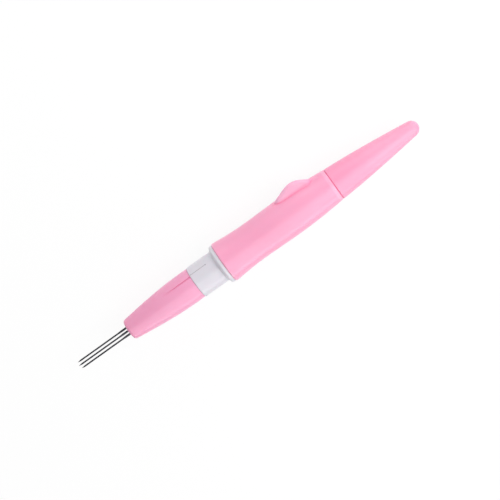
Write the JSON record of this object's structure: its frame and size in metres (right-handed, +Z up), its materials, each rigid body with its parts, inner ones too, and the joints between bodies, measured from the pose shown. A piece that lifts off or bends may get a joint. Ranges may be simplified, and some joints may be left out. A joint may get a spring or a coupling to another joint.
{
  "type": "felting needle pen",
  "caption": "Pen-shaped wool felting tool with barbed needles in a screw-in holder, a nose cone, a hollow handle with a roll stop and a push-on needle cap.",
  "frame": {"origin": "on the surface the pen lies on, under the middle of its length and width", "axes": "+X along the pen towards the cap's tip, so the needles point along -X; +Z up from the surface; the roll stop is on the +Y side"},
  "size_m": [0.165, 0.02, 0.0176],
  "materials": {
    "handle_pink": "smooth moulded, satin gloss",
    "cap_pink": "smooth moulded, satin gloss",
    "grip_pink": "smooth moulded, satin gloss",
    "holder_white": "smooth moulded white",
    "stopper_white": "smooth moulded white",
    "needle_steel": "polished hardened wire"
  },
  "bodies": {
    "handle": {"handle": "handle_pink"},
    "cap": {"cap": "cap_pink"},
    "stopper": {"needle_stopper": "stopper_white"},
    "front": {"needle_holder": "holder_white", "front_grip": "grip_pink", "needle_1": "needle_steel", "needle_2": "needle_steel", "needle_3": "needle_steel"}
  },
  "joints": [
    {"name": "cap_pull", "type": "slide", "parent": "handle", "child": "cap", "axis": [1, 0, 0], "range_m": [0, 0.02]},
    {"name": "stopper_travel", "type": "slide", "parent": "handle", "child": "stopper", "axis": [-1, 0, 0], "range_m": [0, 0.0075]},
    {"name": "holder_screw", "type": "hinge", "parent": "stopper", "child": "front", "pos_m": [0, -0.00117, 0.00882], "axis": [-1, 0, 0], "range_deg": [0, 1800]}
  ],
  "couplings": [
    {"joint": "stopper_travel", "follows": "holder_screw", "m_per_rad": 0.00023873}
  ]
}
